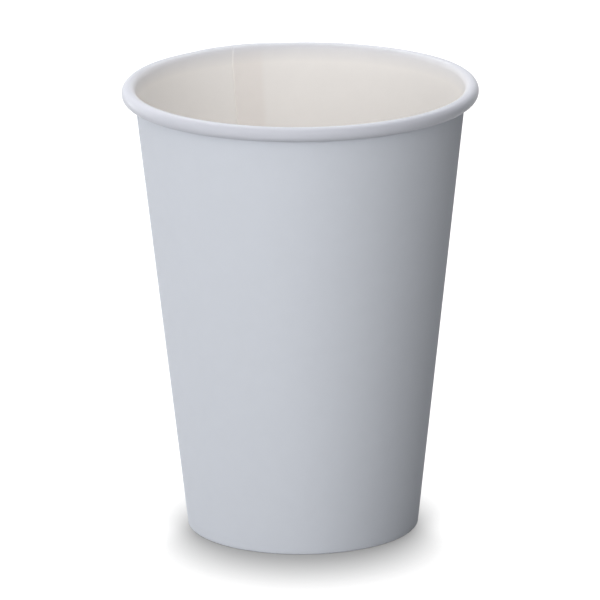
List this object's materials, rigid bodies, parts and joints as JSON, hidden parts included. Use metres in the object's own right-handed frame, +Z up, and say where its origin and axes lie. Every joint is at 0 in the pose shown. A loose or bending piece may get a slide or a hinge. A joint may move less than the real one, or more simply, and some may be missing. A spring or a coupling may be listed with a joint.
{
  "type": "paper coffee cup",
  "caption": "Tapered paper cup for hot drinks, with a rolled rim, a lapped side seam and a recessed base held by a folded hem.",
  "frame": {"origin": "on the cup's axis at the plane of its foot", "axes": "+Z up the cup's axis to the mouth; -Y towards the viewer; the lap of the side seam is at the back, left of +Y"},
  "size_m": [0.09, 0.09, 0.1153],
  "materials": {
    "wall_board": "smooth bleached board, thinly coated inside",
    "base_board": "smooth bleached board, thinly coated on its upper side"
  },
  "bodies": {
    "root": {"side_wall": "wall_board", "base_disc": "base_board"}
  },
  "joints": []
}
